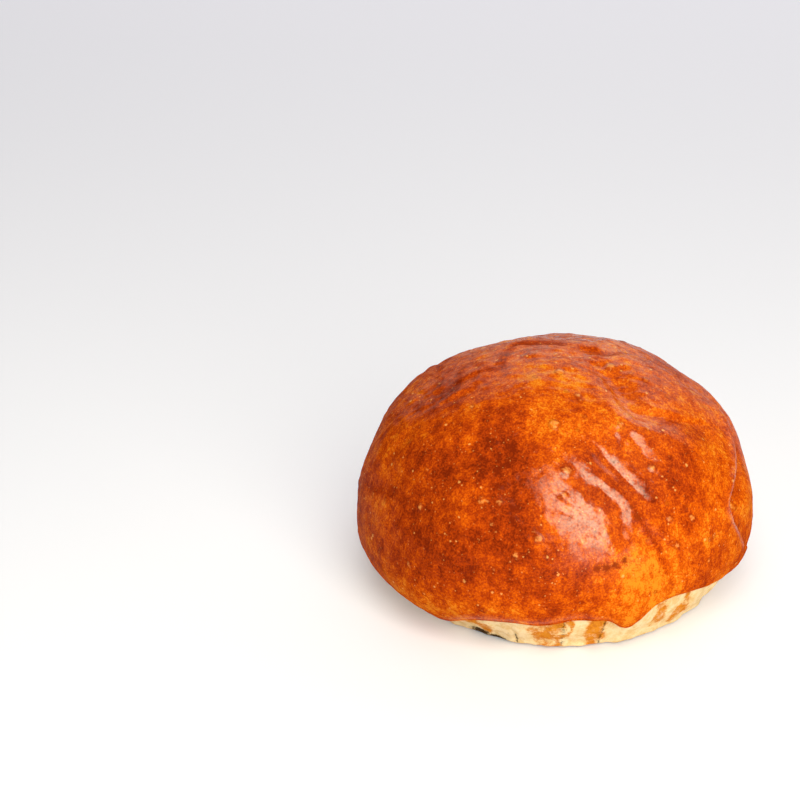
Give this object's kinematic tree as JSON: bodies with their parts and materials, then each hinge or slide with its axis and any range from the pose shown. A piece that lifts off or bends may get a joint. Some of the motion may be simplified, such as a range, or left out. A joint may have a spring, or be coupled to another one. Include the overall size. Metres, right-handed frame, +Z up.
{
  "type": "burger bun",
  "caption": "Round uncut burger bun with a domed glazed brown crust, soft folds and a drooping lip over a paler flat-bottomed foot.",
  "frame": {"origin": "centre of the bun's bounding box at the flat underside, on the surface that the bun rests on", "axes": "+Z up from the underside to the crown, -Y towards the front of the bun, +X to its right"},
  "size_m": [0.1022, 0.0988, 0.0628],
  "materials": {
    "crust": "satin"
  },
  "bodies": {
    "root": {"bun": "crust"}
  },
  "joints": []
}
